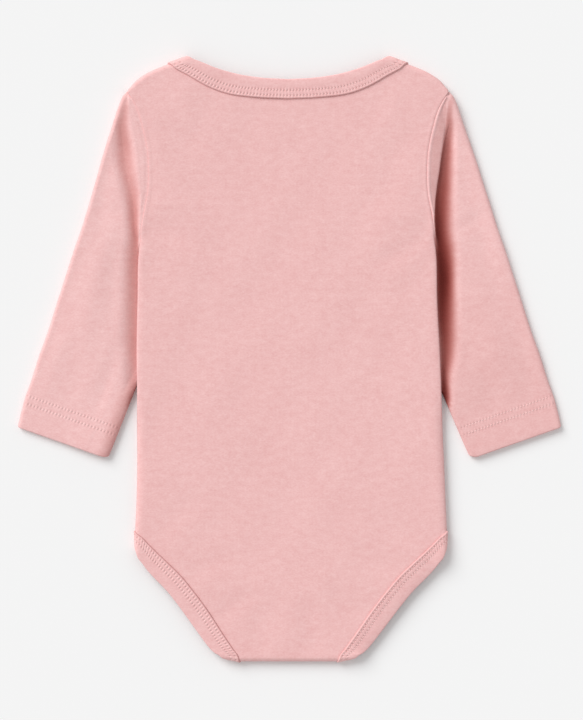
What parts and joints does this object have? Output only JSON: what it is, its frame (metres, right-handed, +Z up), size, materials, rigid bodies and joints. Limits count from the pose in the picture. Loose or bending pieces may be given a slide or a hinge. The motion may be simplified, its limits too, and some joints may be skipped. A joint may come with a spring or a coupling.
{
  "type": "baby onesie",
  "caption": "Long-sleeved baby onesie in plain soft cotton, laid flat with its back up, with a lap shoulder, bound neck and legs and a snapped crotch.",
  "frame": {"origin": "on the surface the garment lies on, at the middle of its outline", "axes": "+X across the garment, +Y from the crotch to the neck, +Z up from the surface; the back of the garment faces up"},
  "size_m": [0.3536, 0.3932, 0.0065],
  "materials": {
    "cotton_interlock": "soft matt knit, dusty pink",
    "snap_cap": "satin"
  },
  "bodies": {
    "root": {"back_panel": "cotton_interlock", "front_panel": "cotton_interlock", "sleeve_left": "cotton_interlock", "sleeve_right": "cotton_interlock", "neck_binding_back": "cotton_interlock", "neck_binding_front": "cotton_interlock", "leg_binding_left": "cotton_interlock", "leg_binding_right": "cotton_interlock", "snap_1": "snap_cap", "snap_2": "snap_cap", "snap_3": "snap_cap"}
  },
  "joints": []
}
